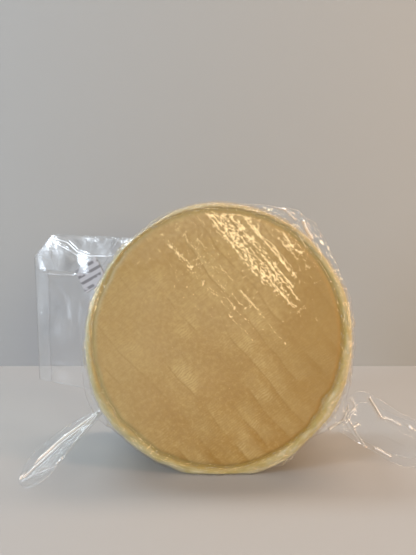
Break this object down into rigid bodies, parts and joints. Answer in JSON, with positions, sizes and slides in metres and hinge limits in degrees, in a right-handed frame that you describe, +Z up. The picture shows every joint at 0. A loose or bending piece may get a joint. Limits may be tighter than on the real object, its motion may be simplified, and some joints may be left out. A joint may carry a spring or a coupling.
{
  "type": "vacuum-packed goat cheese wheel",
  "caption": "Aged goat cheese wheel sealed in a clear vacuum film bag, standing on its edge with gathered bag corners and a folded flap behind.",
  "frame": {"origin": "centre of the flat spot on which the wheel stands", "axes": "+X to the right and +Y away from the viewer as one faces the plate side of the wheel, +Z up"},
  "size_m": [0.2347, 0.1028, 0.14],
  "materials": {
    "cheese": "tan-gold cheese seen through glossy clear film",
    "label": "pale sticker with plain grey bars"
  },
  "bodies": {
    "root": {"vacuum_pack": "cheese", "label": "label"}
  },
  "joints": []
}
